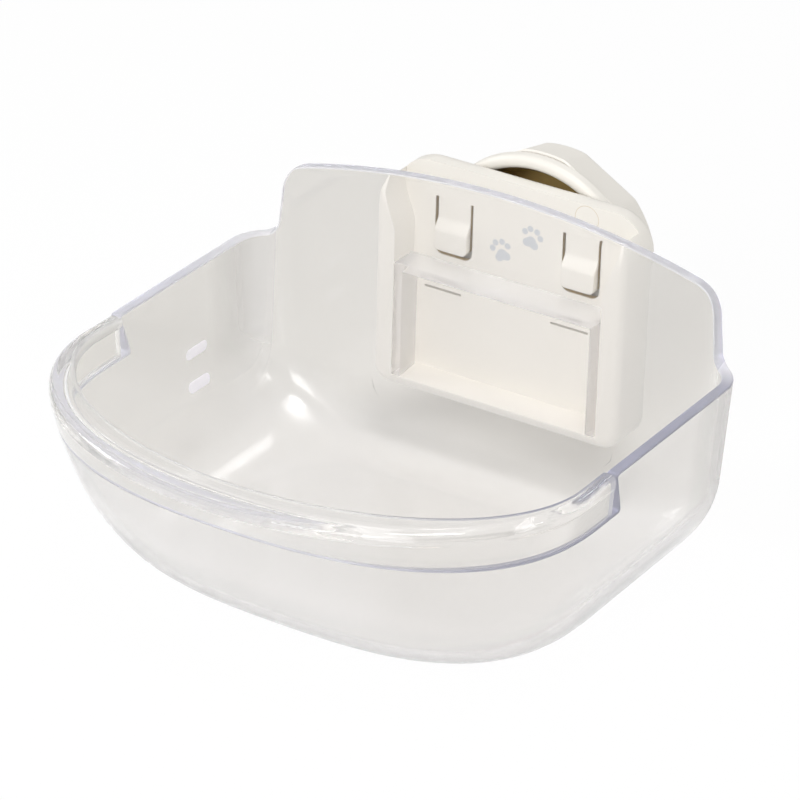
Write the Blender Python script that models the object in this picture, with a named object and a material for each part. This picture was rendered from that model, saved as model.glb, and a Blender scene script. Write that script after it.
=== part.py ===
"""Cage-mounted pet bowl: a clear tub that hangs on a cream bracket, clamped to a cage by a screw knob.

Lengths are millimetres until a mesh is made. X runs to the right, Y back to the cage, Z up.
The origin is the middle of the flat underside on which the bowl stands.
"""

import math

import bmesh
import bpy
from mathutils import Vector

MM = 0.001
FIT = 0.3  # running clearance between neighbouring pieces

# Tub
REAR_Y = 40.0  # inner face of the rear wall, behind the origin
WALL = 2.5
FLOOR = 2.8
RIM_HEIGHT = 45.0
HALF_WIDTH = 61.0
FRONT_REACH = 106.6  # rear wall to the foremost point of the rim
FRONT_CENTRE = 61.5  # rear wall to where the straight sides end
RIM_POWER = 2.0  # exponent of the front curve: 2 is an ellipse, more is squarer
BASE_POWER = 2.84
CORNER_RADIUS = 10.3
SIDE_DRAFT = math.radians(3.7)
FRONT_DRAFT = math.radians(32.3)
FRONT_BASE_RADIUS = 17.0
SIDE_BASE_RADIUS = 23.2
REAR_BASE_RADIUS = 13.0
CORNER_GROWTH = 0.27  # how much a rear corner widens for each mm that the side draws in
CENTRE_SHIFT = 0.62  # how far the end of the sides moves back for each mm that the front draws in

# Rear wall above the rim
CROWN_RISE = 23.6
CROWN_RADIUS = 187.0
CROWN_CORNER = 8.0
BACK_HALF_TOP = 53.8
BACK_HALF_FOOT = 54.6
BACK_FILLET = 3.0

# Lip guard in its notch
NOTCH_DEPTH = 9.5
NOTCH_BACK = 52.6  # rear wall to the notch ends
GUARD_REACH = 97.8  # rear wall to the foremost point of the return's free edge
GUARD_HALF = 57.6
GUARD_POWER = 1.97
GUARD_STRAIGHT = 1.0 / 16.0  # share of the guard's stations on each straight end
GUARD_BEAD = 0.6  # how far the bead's foot stands outside the rim line
BEAD_HEIGHT = 2.6
RETURN_THICKNESS = 2.3

# Rib frame on the back of the tub
FRAME_HALF = 25.2
FRAME_ROOT = 3.3  # thickness of the upright ribs at the wall
FRAME_TIP = 1.6  # and at their free edges
FRAME_TOP = 45.5
FRAME_TOP_BAR = 1.7
FRAME_CORNER = 2.0
FRAME_DEPTH = 7.0

# Bracket
BRACKET_HALF = 30.5
BRACKET_FOOT = 16.0
BRACKET_TOP = 66.9
BRACKET_DEPTH = 12.8
BRACKET_TOP_CORNER = 8.5
BRACKET_FOOT_CORNER = 4.0
BRACKET_EDGE = 2.0
BRACKET_BACK_EDGE = 2.0
LEDGE = 2.5
CHANNEL_DEPTH = 8.0
PLATE = 1.5
COVER_WALL = 2.6
BACK_PLATE = 1.3
RAIL_FLARE = 3.0
RAIL_FLARE_LOW = 53.0
RAIL_FLARE_HIGH = 61.0
TOP_SLOPE = 9.0
SLIT_WIDTH = 9.2
SLIT_HEIGHT = 0.5
SLIT_Z = 37.4
SLIT_SHIFT = -2.2  # both slits stand left of the tongues above them

# Latch tongues
LATCH_X = 15.7
LATCH_WIDTH = 8.1
LATCH_SLOT = 0.65
LATCH_DROP = 1.4  # the window's opening below a tongue
LATCH_ROOT = 59.2
LATCH_END = 47.5
LATCH_CORNER = 1.4
LATCH_BUMP = 1.5
BUMP_HEIGHT = 4.4
BUMP_RAMP = 3.3

# Screw clamp
AXIS_Z = 46.2
STUD_RADIUS = 4.0
FLANGE_HALF = 8.0
CLAMP_GAP = 0.6  # left between the bracket and the ring when the knob is screwed home
KNOB_LENGTH = 10.6
KNOB_RADIUS = 25.0
KNOB_TAPER = 1.7  # how much the radius falls to the back
KNOB_EDGE = 1.9
KNOB_FLATS = 6
FLAT_HALF_ANGLE = 18.2  # degrees of the round that each flat takes on either side of its middle
KNOB_WALL = 2.0
KNOB_BACK = 2.4
MOUTH_WALL = 1.45  # left outside the knob's mouth at a flat
BOSS_RADIUS = 7.0
RING_PROUD = 0.2  # how far the ring's lip stands outside the knob
RING_SECTION = 2.9
RING_LENGTH = 2.9
SLEEVE_LENGTH = 3.0
SLEEVE_WALL = 1.5

BRACKET_Y = REAR_Y + WALL + FIT
PLATE_Y = BRACKET_Y + CHANNEL_DEPTH
CAVITY_Y = PLATE_Y + PLATE
BRACKET_BACK_Y = BRACKET_Y + BRACKET_DEPTH
BACK_PLATE_Y = BRACKET_BACK_Y - BACK_PLATE
RING_Y = BRACKET_BACK_Y + CLAMP_GAP
KNOB_Y = RING_Y + RING_LENGTH + FIT
KNOB_BACK_Y = KNOB_Y + KNOB_LENGTH
KNOB_BACK_RADIUS = KNOB_RADIUS - KNOB_TAPER
RING_RADIUS = KNOB_RADIUS + RING_PROUD
FLAT_SHARE = math.cos(math.radians(FLAT_HALF_ANGLE))
MOUTH_RADIUS = KNOB_RADIUS * FLAT_SHARE - MOUTH_WALL
SLEEVE_RADIUS = MOUTH_RADIUS - FIT
LEDGE_TOP = BRACKET_FOOT + LEDGE
FRAME_FOOT = LEDGE_TOP + FIT
ABOVE = RIM_HEIGHT + CROWN_RISE + 10.0
BEYOND = 2.0 * HALF_WIDTH

CLEAR = (0.93, 0.93, 0.92, 1.0)
CREAM = (0.87, 0.83, 0.76, 1.0)


def clear_scene():
    for old in list(bpy.data.objects):
        bpy.data.objects.remove(old, do_unlink=True)


def finish(node, colour, roughness, transmission=0.0):
    """Gives the node its own plastic."""
    material = bpy.data.materials.new(node.name)
    material.use_nodes = True
    shader = material.node_tree.nodes["Principled BSDF"]
    shader.inputs["Base Color"].default_value = colour
    shader.inputs["Roughness"].default_value = roughness
    shader.inputs["Metallic"].default_value = 0.0
    shader.inputs["Transmission Weight"].default_value = transmission
    material.diffuse_color = colour
    node.data.materials.append(material)


def mesh_object(name, points, faces, origin=(0.0, 0.0, 0.0)):
    """A mesh from points in world millimetres, with the object's origin at the given point."""
    centre = Vector(origin)
    local = [(Vector(point) - centre) * MM for point in points]
    mesh = bpy.data.meshes.new(name)
    mesh.from_pydata(local, [], faces)
    shape = bmesh.new()
    shape.from_mesh(mesh)
    bmesh.ops.recalc_face_normals(shape, faces=shape.faces)
    shape.to_mesh(mesh)
    shape.free()
    node = bpy.data.objects.new(name, mesh)
    node.location = centre * MM
    bpy.context.scene.collection.objects.link(node)
    return node


def loft(name, loops, origin=(0.0, 0.0, 0.0)):
    """A closed skin over loops of equally many points, capped at both ends."""
    count = len(loops[0])
    points = [point for loop in loops for point in loop]
    faces = [tuple(range(count)), tuple(range(len(points) - count, len(points)))]
    for start in range(0, len(points) - count, count):
        for i in range(count):
            j = (i + 1) % count
            faces.append((start + i, start + j, start + count + j, start + count + i))
    return mesh_object(name, points, faces, origin)


def prism_along_y(name, outline, front, back, origin=(0.0, 0.0, 0.0)):
    """An XZ outline carried straight from one Y to another."""
    loops = [[(x, y, z) for x, z in outline] for y in (front, back)]
    return loft(name, loops, origin)


def prism_along_x(name, outline, left, right, origin=(0.0, 0.0, 0.0)):
    """A YZ outline carried straight from one X to another."""
    loops = [[(x, y, z) for y, z in outline] for x in (left, right)]
    return loft(name, loops, origin)


def box(name, low, high):
    outline = [(low[0], low[2]), (high[0], low[2]), (high[0], high[2]), (low[0], high[2])]
    return prism_along_y(name, outline, low[1], high[1])


def combine(node, other, operation):
    """Joins or cuts with a helper that isn't rendered."""
    step = node.modifiers.new(other.name, "BOOLEAN")
    step.operation = operation
    step.solver = "EXACT"
    step.object = other
    other.hide_render = True
    other.display_type = "WIRE"


def arc(centre, radius, start, end, steps):
    """Points on a circle, from one angle to another in degrees."""
    angles = [math.radians(start + (end - start) * i / steps) for i in range(steps + 1)]
    return [(centre[0] + radius * math.cos(a), centre[1] + radius * math.sin(a)) for a in angles]


def smooth(node, limit=35.0):
    for face in node.data.polygons:
        face.use_smooth = True
    node.data.set_sharp_from_angle(angle=math.radians(limit))


def turned(name, profile, origin, steps):
    """A closed (radius, Y) profile revolved about the Y line through the origin; radius 0 lies on it."""
    points = []
    rings = []
    for radius, y in profile:
        start = len(points)
        if radius == 0.0:
            points.append((origin[0], y, origin[2]))
            rings.append([start] * steps)
            continue
        for x, z in arc((origin[0], origin[2]), radius, 0.0, 360.0, steps)[:-1]:
            points.append((x, y, z))
        rings.append(list(range(start, start + steps)))
    faces = []
    for here, following in zip(rings, rings[1:] + rings[:1]):
        for i in range(steps):
            j = (i + 1) % steps
            corners = tuple(dict.fromkeys((here[i], here[j], following[j], following[i])))
            if len(corners) > 2:
                faces.append(corners)
    return mesh_object(name, points, faces, origin)


def draw_in(height, floor, draft, radius):
    """How far a drafted wall with a rounded foot has drawn in, at a height under the rim."""
    drop = RIM_HEIGHT - height
    depth = RIM_HEIGHT - floor
    tangent = depth - radius * (1.0 - math.sin(draft))
    if drop <= tangent:
        return drop * math.tan(draft)
    centre = tangent * math.tan(draft) + radius * math.cos(draft)
    below = min(drop - (depth - radius), radius)
    return centre - math.sqrt(radius * radius - below * below)


def tub_sides(height, inner):
    """Half width, rear Y, front Y, Y where the sides end, corner radius and front power, at one height."""
    floor = FLOOR if inner else 0.0
    wall = WALL if inner else 0.0
    level = min(height, RIM_HEIGHT)
    side = draw_in(level, floor, SIDE_DRAFT, SIDE_BASE_RADIUS - wall)
    front = draw_in(level, floor, FRONT_DRAFT, FRONT_BASE_RADIUS - wall)
    rear = draw_in(level, floor, 0.0, REAR_BASE_RADIUS - wall)
    half = HALF_WIDTH - side - wall / math.cos(SIDE_DRAFT)
    nose = REAR_Y - FRONT_REACH + front + wall / math.cos(FRONT_DRAFT)
    corner = CORNER_RADIUS - wall + CORNER_GROWTH * side
    centre = REAR_Y - FRONT_CENTRE + CENTRE_SHIFT * front
    power = RIM_POWER + (BASE_POWER - RIM_POWER) * math.sqrt(1.0 - level / RIM_HEIGHT)
    return half, REAR_Y + WALL - wall - rear, nose, centre, corner, power


def front_point(sides, angle):
    """A point of the front curve, from the right end at 0 to the left end at pi."""
    half, _, nose, centre, _, power = sides
    across = math.copysign(abs(math.cos(angle)) ** (2.0 / power), math.cos(angle))
    ahead = abs(math.sin(angle)) ** (2.0 / power)
    return half * across, centre + (nose - centre) * ahead


def tub_loop(height, inner):
    sides = tub_sides(height, inner)
    half, rear, _, _, corner, _ = sides
    steps = 64
    outline = [front_point(sides, math.pi * i / steps) for i in range(steps + 1)]
    outline += arc((corner - half, rear - corner), corner, 180.0, 90.0, 9)
    outline += arc((half - corner, rear - corner), corner, 90.0, 0.0, 9)
    return [(x, y, height) for x, y in outline]


def tub_skin(name, inner):
    """The tub's outer or inner skin, carried straight up past the crown."""
    floor = FLOOR if inner else 0.0
    radius = SIDE_BASE_RADIUS - (WALL if inner else 0.0)
    turns = [math.radians(90.0 * i / 10) for i in range(11)]
    heights = [floor + radius * (1.0 - math.cos(turn)) for turn in turns]
    heights += [RIM_HEIGHT, ABOVE + (1.0 if inner else 0.0)]
    return loft(name, [tub_loop(height, inner) for height in heights])


def crown_half():
    """The right half of the rear wall's edge, from the rim up to the crown's middle."""
    crown = RIM_HEIGHT + CROWN_RISE
    below = crown - CROWN_RADIUS
    reach = CROWN_RADIUS - CROWN_CORNER
    corner_x = BACK_HALF_TOP - CROWN_CORNER
    corner_z = below + math.sqrt(reach * reach - corner_x * corner_x)
    lean = math.degrees(math.atan2(corner_z - below, corner_x))
    foot = (BACK_HALF_FOOT + BACK_FILLET, RIM_HEIGHT + BACK_FILLET)
    edge = arc(foot, BACK_FILLET, 270.0, 180.0, 6)
    edge += arc((corner_x, corner_z), CROWN_CORNER, 0.0, lean, 8)
    edge += arc((0.0, below), CROWN_RADIUS, lean, 90.0, 10)[1:]
    return edge


def build_bowl():
    bowl = tub_skin("bowl", inner=False)
    combine(bowl, tub_skin("bowl_hollow", inner=True), "DIFFERENCE")
    edge = crown_half()
    above = [(-x, z) for x, z in edge] + edge[-2::-1]
    above += [(BEYOND, RIM_HEIGHT), (BEYOND, ABOVE + 5.0), (-BEYOND, ABOVE + 5.0), (-BEYOND, RIM_HEIGHT)]
    combine(bowl, prism_along_y("above_rim", above, -BEYOND, BEYOND), "DIFFERENCE")
    notch_low = (-BEYOND, -BEYOND, RIM_HEIGHT - NOTCH_DEPTH)
    notch_high = (BEYOND, REAR_Y - NOTCH_BACK, ABOVE + 10.0)
    combine(bowl, box("guard_notch", notch_low, notch_high), "DIFFERENCE")
    combine(bowl, rib_frame(), "UNION")
    smooth(bowl)
    finish(bowl, CLEAR, 0.05, transmission=1.0)
    return bowl


def rib_frame():
    """Three tapered ribs behind the rear wall that slide down into the bracket's channel."""
    under = FRAME_TOP - FRAME_TOP_BAR
    face = REAR_Y + WALL
    loops = []
    for y, bar in ((face - 0.5 * WALL, FRAME_ROOT), (face, FRAME_ROOT), (face + FRAME_DEPTH, FRAME_TIP)):
        inside = FRAME_HALF - bar
        right = arc((inside - FRAME_CORNER, under - FRAME_CORNER), FRAME_CORNER, 90.0, 0.0, 5)
        right += [(inside, FRAME_FOOT), (FRAME_HALF, FRAME_FOOT), (FRAME_HALF, FRAME_TOP)]
        outline = right + [(-x, z) for x, z in reversed(right)]
        loops.append([(x, y, z) for x, z in outline])
    return loft("rib_frame", loops)


def guard_point(sides, share):
    """A point of the rim line between the guard's end faces: a straight, the front curve and a straight."""
    half, _, _, centre, _, _ = sides
    end = REAR_Y - NOTCH_BACK - FIT
    turn = (share - GUARD_STRAIGHT) / (1.0 - 2.0 * GUARD_STRAIGHT)
    if 0.0 <= turn <= 1.0:
        return Vector(front_point(sides, math.pi * turn))
    along = min(share, 1.0 - share) / GUARD_STRAIGHT
    return Vector((math.copysign(half, 0.5 - share), end + (centre - end) * along))


def guard_section(share):
    """The guard's closed section at one station: flush skirt, bead, top, return and skirt inside."""
    edge_sides = (GUARD_HALF, 0.0, REAR_Y - GUARD_REACH, REAR_Y - FRONT_CENTRE, 0.0, GUARD_POWER)
    free = guard_point(edge_sides, share)
    rim = guard_point(tub_sides(RIM_HEIGHT, False), share)
    inward = (free - rim).normalized()
    swell = min(1.0, min(share, 1.0 - share) / (2.0 * GUARD_STRAIGHT))
    proud = GUARD_BEAD * swell * swell * (3.0 - 2.0 * swell)

    def skin(drop, inner):
        flat = guard_point(tub_sides(RIM_HEIGHT - drop, inner), share)
        return flat.x, flat.y, RIM_HEIGHT - drop

    def level(flat, drop, shift):
        return flat.x + inward.x * shift, flat.y + inward.y * shift, RIM_HEIGHT - drop

    seat = NOTCH_DEPTH - FIT
    foot = RETURN_THICKNESS
    under = Vector(skin(foot, True)).lerp(Vector(level(free, foot, 0.0)), 0.3)
    outside = [skin(seat, False), skin(BEAD_HEIGHT + 0.5, False), level(rim, BEAD_HEIGHT, -proud)]
    bead = [level(rim, 1.5, -0.9 * proud), level(rim, 0.6, -0.4 * proud), level(rim, 0.0, 0.6)]
    rounding = [level(free, 0.0, -0.6), level(free, 0.25, -0.1), level(free, 0.8, 0.0), level(free, foot - 0.5, 0.0)]
    beneath = [level(free, foot, -0.4), tuple(under), skin(foot + 0.8, True), skin(seat, True)]
    return outside + bead + rounding + beneath


def build_lip_guard():
    """The strip that fills the front notch, from one end seam to the other."""
    steps = 48
    guard = loft("lip_guard", [guard_section(i / steps) for i in range(steps + 1)])
    smooth(guard)
    finish(guard, CLEAR, 0.05, transmission=1.0)
    return guard


def bracket_outline(inset):
    """The bracket's upright outline, drawn in on every side."""
    half = BRACKET_HALF - inset
    top = BRACKET_TOP - inset
    foot = BRACKET_FOOT + inset
    top_radius = max(BRACKET_TOP_CORNER - inset, 0.5)
    foot_radius = max(BRACKET_FOOT_CORNER - inset, 0.5)
    right = arc((half - foot_radius, foot + foot_radius), foot_radius, 270.0, 360.0, 6)
    right += arc((half - top_radius, top - top_radius), top_radius, 0.0, 90.0, 8)
    return right + [(-x, z) for x, z in reversed(right)]


def rounded_slab(name, front, back, front_edge, back_edge):
    """The bracket's outline carried from front to back with rounded edges."""
    turns = [math.radians(30.0 * i) for i in range(4)]
    levels = [(front + front_edge * (1.0 - math.sin(t)), front_edge * (1.0 - math.cos(t))) for t in turns[::-1]]
    levels += [(back - back_edge * (1.0 - math.sin(t)), back_edge * (1.0 - math.cos(t))) for t in turns]
    return loft(name, [[(x, y, z) for x, z in bracket_outline(inset)] for y, inset in levels])


def latch_outline(side, half, low, high, radius):
    """A tongue's or a window's face: straight sides and a foot with round corners."""
    right = arc((half - radius, low + radius), radius, 270.0, 360.0, 5) + [(half, high)]
    outline = right + [(-x, z) for x, z in reversed(right)]
    return [(side * LATCH_X + x, z) for x, z in outline]


def latch_window(side):
    """The opening in the plate in which a tongue moves."""
    half = 0.5 * LATCH_WIDTH + LATCH_SLOT
    radius = LATCH_CORNER + LATCH_SLOT
    outline = latch_outline(side, half, LATCH_END - LATCH_DROP, LATCH_ROOT + FIT, radius)
    return prism_along_y(f"latch_window_{side}", outline, PLATE_Y - 1.0, CAVITY_Y + 0.3)


def slit(side):
    middle = side * LATCH_X + SLIT_SHIFT
    low = (middle - 0.5 * SLIT_WIDTH, PLATE_Y - 1.0, SLIT_Z)
    high = (middle + 0.5 * SLIT_WIDTH, CAVITY_Y + 0.3, SLIT_Z + SLIT_HEIGHT)
    return box(f"slit_{side}", low, high)


def build_bracket_front():
    cover = rounded_slab("bracket_front", BRACKET_Y, BRACKET_BACK_Y, BRACKET_EDGE, BRACKET_BACK_EDGE)
    rail = FRAME_HALF + FIT
    wide = rail + RAIL_FLARE
    right = [(rail, LEDGE_TOP), (rail, RAIL_FLARE_LOW), (wide, RAIL_FLARE_HIGH), (wide, ABOVE)]
    channel = right + [(-x, z) for x, z in reversed(right)]
    combine(cover, prism_along_y("channel", channel, BRACKET_Y - 5.0, PLATE_Y), "DIFFERENCE")
    crest = PLATE_Y + PLATE
    over = []
    for x, z in arc((0.0, 0.0), 1.0, 180.0, 90.0, 8):
        over.append((crest + x * (crest - BRACKET_Y), BRACKET_TOP - TOP_SLOPE * (1.0 - z)))
    over += [(crest, ABOVE), (BRACKET_Y - 5.0, ABOVE), (BRACKET_Y - 5.0, BRACKET_TOP - TOP_SLOPE)]
    combine(cover, prism_along_x("top_slope", over, -BEYOND, BEYOND), "DIFFERENCE")
    hollow = bracket_outline(COVER_WALL)
    combine(cover, prism_along_y("hollow", hollow, CAVITY_Y, BRACKET_BACK_Y + 5.0), "DIFFERENCE")
    for side in (-1, 1):
        combine(cover, latch_window(side), "DIFFERENCE")
        combine(cover, slit(side), "DIFFERENCE")
    smooth(cover)
    finish(cover, CREAM, 0.35)
    return cover


def build_bracket_back():
    """The plate that closes the bracket, with the stud's hole and two ribs that key its flange."""
    outline = bracket_outline(COVER_WALL + FIT)
    plate = prism_along_y("bracket_back", outline, BACK_PLATE_Y, BRACKET_BACK_Y)
    inside = FLANGE_HALF + FIT
    for side in (-1, 1):
        near, far = sorted((side * inside, side * (inside + COVER_WALL)))
        low = (near, CAVITY_Y + FIT, AXIS_Z - FLANGE_HALF)
        high = (far, BACK_PLATE_Y + 0.5 * BACK_PLATE, AXIS_Z + FLANGE_HALF)
        combine(plate, box(f"key_{side}", low, high), "UNION")
    hole = arc((0.0, AXIS_Z), STUD_RADIUS + FIT, 0.0, 352.5, 47)
    cut = prism_along_y("stud_hole", hole, BACK_PLATE_Y - 5.0, BRACKET_BACK_Y + 5.0)
    combine(plate, cut, "DIFFERENCE")
    finish(plate, CREAM, 0.4)
    return plate


def build_latch(name, side):
    """A tongue that bends about its root, with a ramped catch at its free end."""
    root = LATCH_ROOT
    crest = LATCH_END + BUMP_HEIGHT
    front = PLATE_Y
    outline = [(front + PLATE, root), (front + PLATE, LATCH_END), (front - LATCH_BUMP + 0.5, LATCH_END)]
    outline += [(front - LATCH_BUMP, LATCH_END + 0.5)]
    for i in range(9):
        turn = math.pi * i / 8
        rise = 0.5 * (1.0 + math.cos(turn))
        outline.append((front - LATCH_BUMP * rise, crest + BUMP_RAMP * i / 8))
    outline.append((front, root))
    axis = (side * LATCH_X, front + 0.5 * PLATE, root)
    half = 0.5 * LATCH_WIDTH
    tongue = prism_along_x(name, outline, axis[0] - half - 1.0, axis[0] + half + 1.0, axis)
    face = latch_outline(side, half, LATCH_END, LATCH_ROOT + 5.0, LATCH_CORNER)
    combine(tongue, prism_along_y(f"face_{name}", face, front - 5.0, front + 5.0), "INTERSECT")
    smooth(tongue)
    finish(tongue, CREAM, 0.35)
    return tongue


def build_clamp_bolt():
    """The stud, with a square flange held between the covers."""
    axis = (0.0, BRACKET_BACK_Y, AXIS_Z)
    tip = KNOB_BACK_Y - KNOB_BACK - 2.0 * FIT
    heel = BACK_PLATE_Y - 2.0 * FIT
    profile = [(STUD_RADIUS, heel), (STUD_RADIUS, tip - 1.0), (STUD_RADIUS - 1.0, tip)]
    loops = []
    for radius, y in profile:
        ring = arc((0.0, AXIS_Z), radius, 0.0, 352.5, 47)
        loops.append([(x, y, z) for x, z in ring])
    bolt = loft("clamp_bolt", loops, axis)
    low = (-FLANGE_HALF, CAVITY_Y + FIT, AXIS_Z - FLANGE_HALF)
    high = (FLANGE_HALF, BACK_PLATE_Y - FIT, AXIS_Z + FLANGE_HALF)
    combine(bolt, box("flange", low, high), "UNION")
    smooth(bolt)
    finish(bolt, CREAM, 0.4)
    return bolt


def build_pressure_ring():
    """A rounded lip that meets the cage, on a sleeve that turns in the knob's mouth."""
    bulge = 0.5 * RING_SECTION
    bore = RING_RADIUS - RING_SECTION
    shoulder = RING_Y + RING_LENGTH
    end = shoulder + SLEEVE_LENGTH
    inside = SLEEVE_RADIUS - SLEEVE_WALL
    turns = [math.pi * i / 8 for i in range(9)]
    profile = [(bore + bulge * (1.0 - math.cos(t)), RING_Y + bulge * (1.0 - math.sin(t))) for t in turns]
    profile += [(RING_RADIUS, shoulder), (SLEEVE_RADIUS, shoulder), (SLEEVE_RADIUS, end)]
    profile += [(inside, end), (inside, shoulder - 0.5 * bulge)]
    ring = turned("pressure_ring", profile, (0.0, RING_Y, AXIS_Z), 72)
    smooth(ring)
    finish(ring, CREAM, 0.35)
    return ring


def knob_loop(radius, y):
    """A circle with the finger flats cut off it."""
    pitch = 360.0 / KNOB_FLATS
    loop = []
    for index in range(KNOB_FLATS):
        start = index * pitch + FLAT_HALF_ANGLE
        loop += arc((0.0, AXIS_Z), radius, start, start + pitch - 2.0 * FLAT_HALF_ANGLE, 6)
    return [(x, y, z) for x, z in loop]


def build_knob():
    """The hollow knob, narrowing to the back, with a threaded boss for the stud."""
    axis = (0.0, KNOB_Y, AXIS_Z)
    edge = [math.radians(22.5 * i) for i in range(5)]
    levels = [(KNOB_RADIUS, KNOB_Y)]
    for turn in edge:
        inset = KNOB_EDGE * (1.0 - math.cos(turn))
        levels.append((KNOB_BACK_RADIUS - inset, KNOB_BACK_Y - KNOB_EDGE * (1.0 - math.sin(turn))))
    knob = loft("knob", [knob_loop(radius, y) for radius, y in levels], axis)
    before = KNOB_Y - 5.0
    deep = KNOB_BACK_Y - KNOB_BACK
    seat = KNOB_Y + SLEEVE_LENGTH + FIT
    cup = KNOB_BACK_RADIUS * FLAT_SHARE - KNOB_WALL
    hollow = [(0.0, before), (MOUTH_RADIUS, before), (MOUTH_RADIUS, seat), (cup, seat), (cup, deep), (0.0, deep)]
    combine(knob, turned("knob_hollow", hollow, axis, 72), "DIFFERENCE")
    outside = arc((0.0, AXIS_Z), BOSS_RADIUS, 0.0, 352.5, 47)
    combine(knob, prism_along_y("boss", outside, RING_Y, deep + 0.5 * KNOB_BACK), "UNION")
    hole = arc((0.0, AXIS_Z), STUD_RADIUS + FIT, 0.0, 352.5, 47)
    combine(knob, prism_along_y("boss_bore", hole, before, deep), "DIFFERENCE")
    smooth(knob)
    finish(knob, CREAM, 0.4)
    return knob


def main():
    clear_scene()
    build_bowl()
    build_lip_guard()
    build_bracket_front()
    build_bracket_back()
    build_latch("latch_left", -1)
    build_latch("latch_right", 1)
    build_clamp_bolt()
    build_pressure_ring()
    build_knob()


main()
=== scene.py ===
# %% [markdown]
# # A clear feeding bowl that hangs on a cage
# The solids of the bowl are already modelled, packed and able to move. This lesson dresses them: it
# loads the packed model as a fixed frame, lays finer surfaces over it, gives every piece its plastic,
# and sets up a plain white studio. Every new piece rides on one of the moving bodies.

# %% Load the frame
import math

import bmesh
import bpy
import numpy as np
from mathutils import Matrix, Vector


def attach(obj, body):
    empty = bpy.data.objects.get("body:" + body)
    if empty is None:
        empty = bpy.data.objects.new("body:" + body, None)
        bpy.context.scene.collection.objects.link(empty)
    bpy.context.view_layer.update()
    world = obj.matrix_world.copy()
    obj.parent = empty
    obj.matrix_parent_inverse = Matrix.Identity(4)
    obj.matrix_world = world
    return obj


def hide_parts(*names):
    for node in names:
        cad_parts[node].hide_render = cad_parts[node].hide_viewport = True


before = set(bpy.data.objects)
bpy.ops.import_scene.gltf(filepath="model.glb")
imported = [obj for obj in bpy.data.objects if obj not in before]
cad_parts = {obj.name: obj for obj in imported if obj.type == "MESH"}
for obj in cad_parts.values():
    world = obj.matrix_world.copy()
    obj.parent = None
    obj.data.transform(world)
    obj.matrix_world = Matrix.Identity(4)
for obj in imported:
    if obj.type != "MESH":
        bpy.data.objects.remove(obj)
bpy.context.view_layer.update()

MM = 0.001

# %% [markdown]
# ## From arrays to meshes
# Every moulded surface here is a grid: rows of points along a profile, columns round the piece. One
# helper turns such an array into a closed mesh. It could be done with a bmesh loop, but whole arrays
# are quicker and keep the shape's formula in sight.

# %% Grid helper
SHARP_ANGLE = math.radians(35.0)  # a fold steeper than this is shaded as an edge


def add_object(name, data):
    """A new object in the scene, at the origin."""
    made = bpy.data.objects.new(name, data)
    bpy.context.scene.collection.objects.link(made)
    return made


def surface(name, grid, wrap_rows=False):
    """A closed mesh from points in millimetres, shaped (rows, columns, 3): columns close on themselves,
    rows either close too or end in two flat caps. Faces are turned outwards by the sign of the volume."""
    rows, columns, _ = grid.shape
    here = np.arange(rows * columns).reshape(rows, columns)
    below = here if wrap_rows else here[:-1]
    above = np.roll(here, -1, 0) if wrap_rows else here[1:]
    quads = np.stack([below, np.roll(below, -1, 1), np.roll(above, -1, 1), above], -1).reshape(-1, 4)
    points = grid.reshape(-1, 3) * MM
    corners = points[quads]
    volume = np.einsum("ij,ij->i", corners[:, 0], np.cross(corners[:, 1], corners[:, 2])).sum()
    volume += np.einsum("ij,ij->i", corners[:, 0], np.cross(corners[:, 2], corners[:, 3])).sum()
    ends = [] if wrap_rows else [here[0][::-1], here[-1]]
    for end in ends:
        fan = points[end]
        volume += np.einsum("j,ij->", fan[0], np.cross(fan[1:-1], fan[2:]))
    if volume < 0:
        quads = quads[:, ::-1]
        ends = [end[::-1] for end in ends]
    loops = np.concatenate([quads.reshape(-1)] + ends)
    sizes = np.concatenate([np.full(len(quads), 4), [len(end) for end in ends]]).astype(np.int32)
    starts = np.concatenate([[0], np.cumsum(sizes)[:-1]]).astype(np.int32)
    mesh = bpy.data.meshes.new(name)
    mesh.vertices.add(len(points))
    mesh.vertices.foreach_set("co", points.reshape(-1).astype(np.float32))
    mesh.loops.add(len(loops))
    mesh.loops.foreach_set("vertex_index", loops.astype(np.int32))
    mesh.polygons.add(len(sizes))
    mesh.polygons.foreach_set("loop_start", starts)
    mesh.polygons.foreach_set("use_smooth", np.ones(len(sizes), bool))
    mesh.update(calc_edges=True)
    mesh.validate()
    mesh.set_sharp_from_angle(angle=SHARP_ANGLE)
    print(name, len(mesh.vertices), "points", len(mesh.polygons), "faces")
    return add_object(name, mesh)


print("folds over", round(math.degrees(SHARP_ANGLE)), "degrees are shaded as edges")

# %% [markdown]
# ## Rounded corners and marked edges
# A moulded corner is never quite sharp. A bevel modifier would round it, but on a grid it is simpler to
# replace each corner of a section by a short curve. Faces on a free edge are marked, so that the finish
# can paint light and shade on them, where clear plastic looks different as light leaves it.

# %% Corners and edges
EASE_STEPS = 4
FACES_PER_CORNER = EASE_STEPS + 1
LEG_SHARE = 0.45  # the most of a straight leg that one rounding may take


def ease_corners(points, radius):
    """Rounds each corner of closed outlines, shaped (..., corners, 3). Near a corner the outline follows
    a quadratic curve from one point short of it to one point past it."""
    before = np.roll(points, 1, -2) - points
    after = np.roll(points, -1, -2) - points
    long_before = np.linalg.norm(before, axis=-1, keepdims=True)
    long_after = np.linalg.norm(after, axis=-1, keepdims=True)
    radius = np.asarray(radius, float)[..., None]
    start = points + before / long_before * np.minimum(radius, LEG_SHARE * long_before)
    end = points + after / long_after * np.minimum(radius, LEG_SHARE * long_after)
    t = np.linspace(0.0, 1.0, EASE_STEPS + 1)[:, None]
    curve = (1 - t) ** 2 * start[..., None, :] + 2 * t * (1 - t) * points[..., None, :]
    curve = curve + t**2 * end[..., None, :]
    return curve.reshape(points.shape[:-2] + (-1, 3))


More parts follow.
